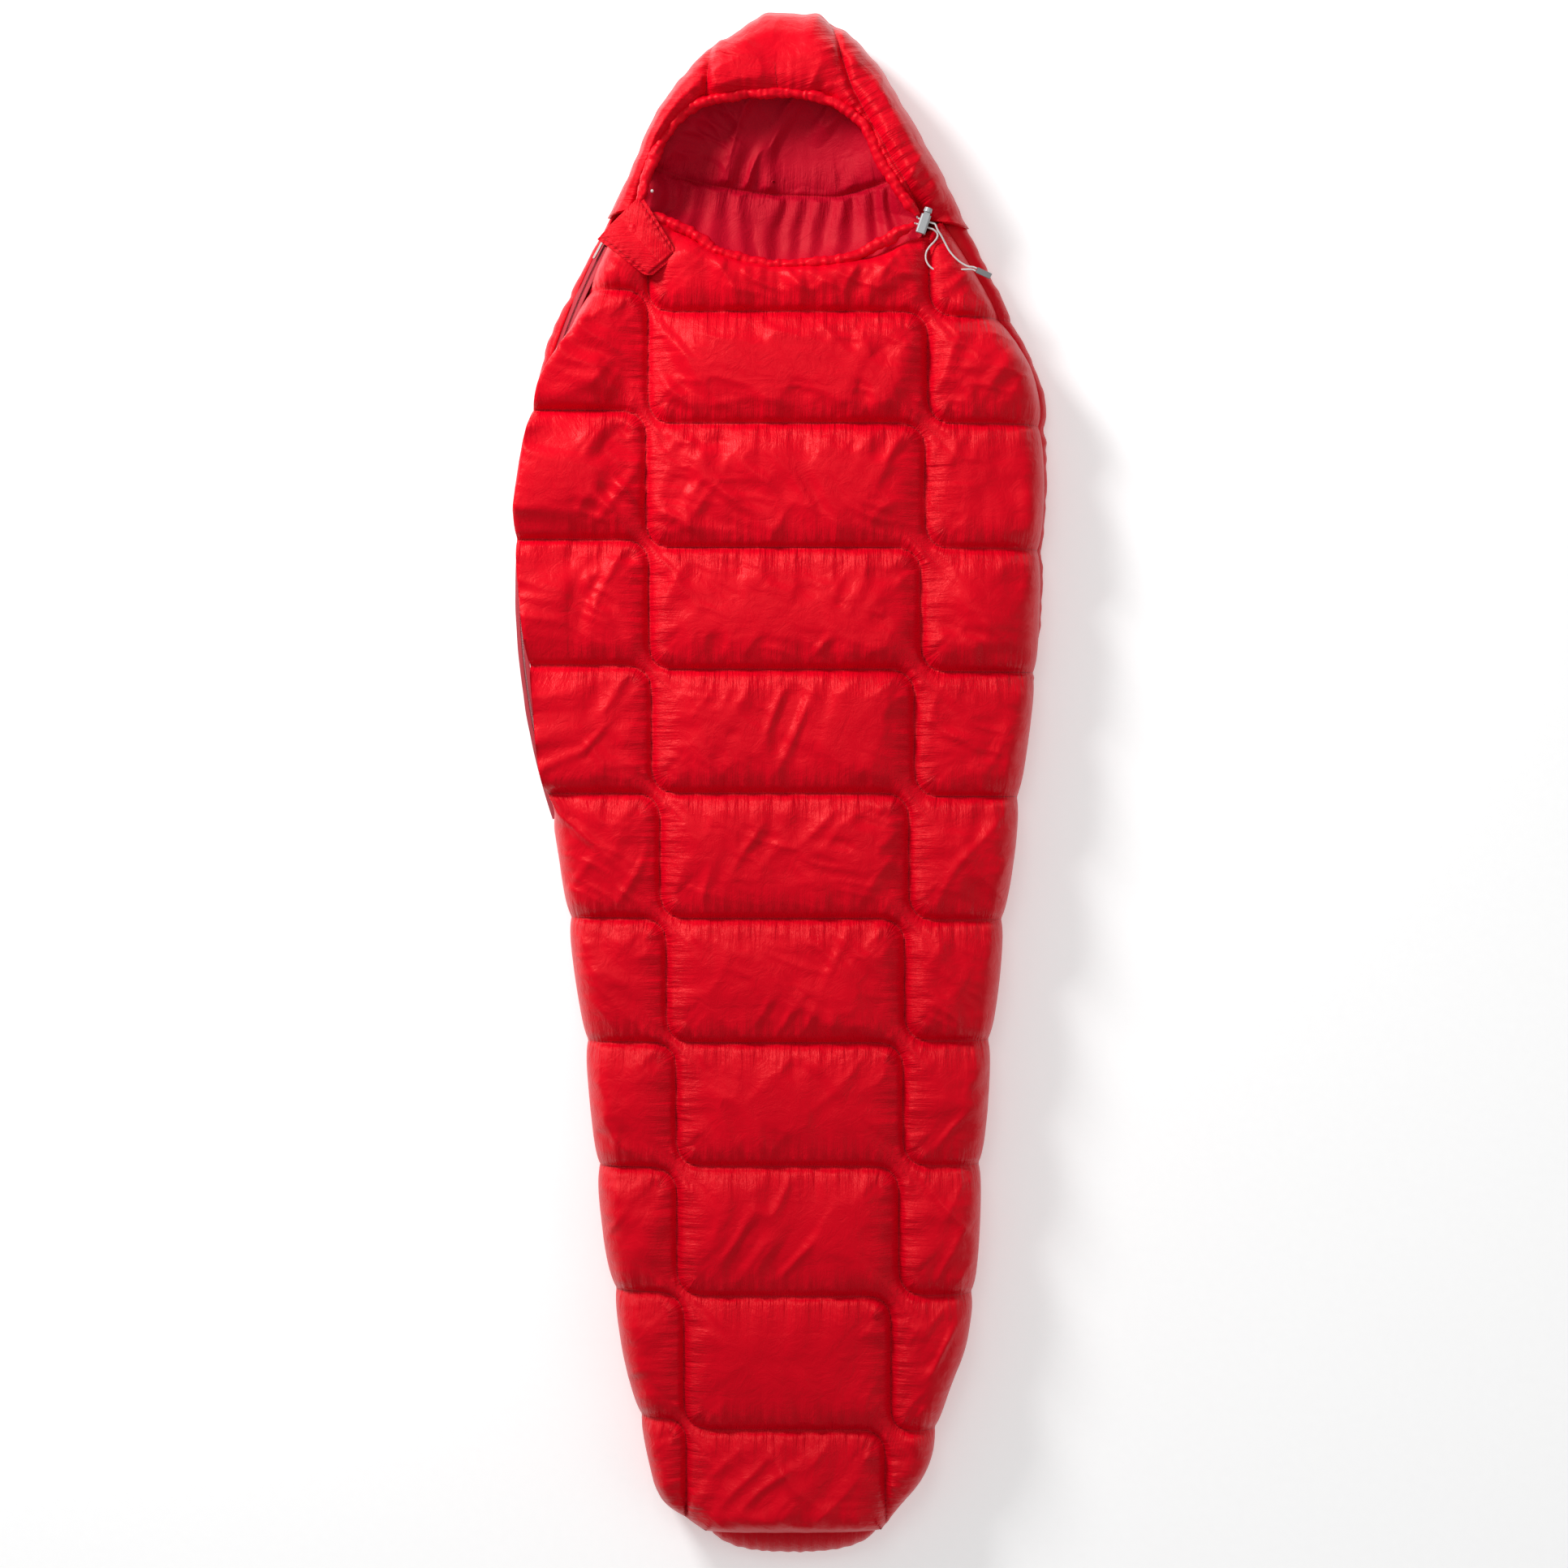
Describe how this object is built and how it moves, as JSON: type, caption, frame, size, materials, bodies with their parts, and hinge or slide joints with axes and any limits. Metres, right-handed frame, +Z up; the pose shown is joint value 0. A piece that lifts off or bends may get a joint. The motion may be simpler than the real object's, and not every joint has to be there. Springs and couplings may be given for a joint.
{
  "type": "mummy sleeping bag",
  "caption": "Quilted mummy sleeping bag with a hood, a side zip under a flap, a front corner that folds back, and a drawcord with a cord lock.",
  "frame": {"origin": "on the ground, under the middle of the bag as it lies on its back", "axes": "+X to the right as seen from above with the hood away, +Y along the bag from the foot to the hood, +Z up"},
  "size_m": [0.7636, 2.2, 0.124],
  "materials": {
    "shell_fabric": "glossy polyester taffeta, dyed red",
    "lining_fabric": "soft polyester taffeta, crimson",
    "filling": "white hollow-fibre wadding",
    "tape_fabric": "woven tape, red",
    "zip_coil": "moulded nylon coil, red",
    "zip_metal": "grey lacquered die-cast zinc",
    "lock_plastic": "moulded acetal, silver grey",
    "cord": "braided elastic cord, light grey",
    "spring_steel": "drawn spring wire"
  },
  "bodies": {
    "bag_back": {"back_shell": "shell_fabric", "back_fill": "filling", "back_lining": "lining_fabric", "front_shell": "shell_fabric", "front_fill": "filling", "front_lining": "lining_fabric", "right_side_wall": "shell_fabric", "left_side_wall": "shell_fabric", "zip_side_wall": "shell_fabric", "foot_panel": "shell_fabric", "draft_collar": "lining_fabric", "hood_left_panel": "shell_fabric", "hood_centre_panel": "shell_fabric", "hood_right_panel": "shell_fabric", "hood_fill": "filling", "hood_lining": "lining_fabric", "hood_tunnel": "shell_fabric", "hood_cord": "cord", "hood_cord_stop": "cord", "zip_tape_back": "tape_fabric", "zip_coil_back": "zip_coil", "zip_bottom_stop": "zip_metal", "zip_top_stop": "zip_metal", "cord_tail_upper": "cord", "cord_tail_lower": "cord", "cord_end": "lock_plastic"},
    "front_corner": {"corner_shell": "shell_fabric", "corner_fill": "filling", "corner_lining": "lining_fabric", "collar_tunnel": "shell_fabric", "collar_cord": "cord", "collar_cord_stop": "cord", "zip_tape_front": "tape_fabric", "zip_coil_front": "zip_coil", "draft_tube": "lining_fabric", "loop_patch": "tape_fabric"},
    "slider": {"zip_slider": "zip_metal"},
    "pull": {"zip_pull": "zip_metal"},
    "flap": {"zip_flap": "shell_fabric", "hook_patch": "tape_fabric"},
    "lock": {"lock_barrel": "lock_plastic", "lock_spring": "spring_steel"},
    "lock_button": {"lock_plunger": "lock_plastic"}
  },
  "joints": [
    {"name": "corner_fold", "type": "hinge", "parent": "bag_back", "child": "front_corner", "pos_m": [0.13, 0.768, 0.112], "axis": [0.4928, 0.8702, 0], "range_deg": [0, 150]},
    {"name": "slider_travel", "type": "hinge", "parent": "bag_back", "child": "slider", "pos_m": [0.667, 0.282, 0.054], "axis": [0, 0, 1], "range_deg": [0, 43]},
    {"name": "pull_swing", "type": "hinge", "parent": "slider", "child": "pull", "pos_m": [-0.2561, 0.78088, 0.05705], "axis": [0.4396, -0.2381, 0.866], "range_deg": [-170, 0]},
    {"name": "flap_lift", "type": "hinge", "parent": "bag_back", "child": "flap", "pos_m": [-0.239, 0.8, 0.092], "axis": [-0.7071, -0.7071, 0], "range_deg": [0, 150], "deforming": ["zip_flap", "hook_patch"]},
    {"name": "lock_slide", "type": "slide", "parent": "bag_back", "child": "lock", "axis": [0.9455, -0.3256, 0], "range_m": [0, 0.007]},
    {"name": "button_press", "type": "slide", "parent": "lock", "child": "lock_button", "axis": [-0.3256, -0.9455, 0], "range_m": [0, 0.004], "stiffness_N_per_m": 800, "springref_m": -0.002, "deforming": ["lock_spring"]}
  ]
}
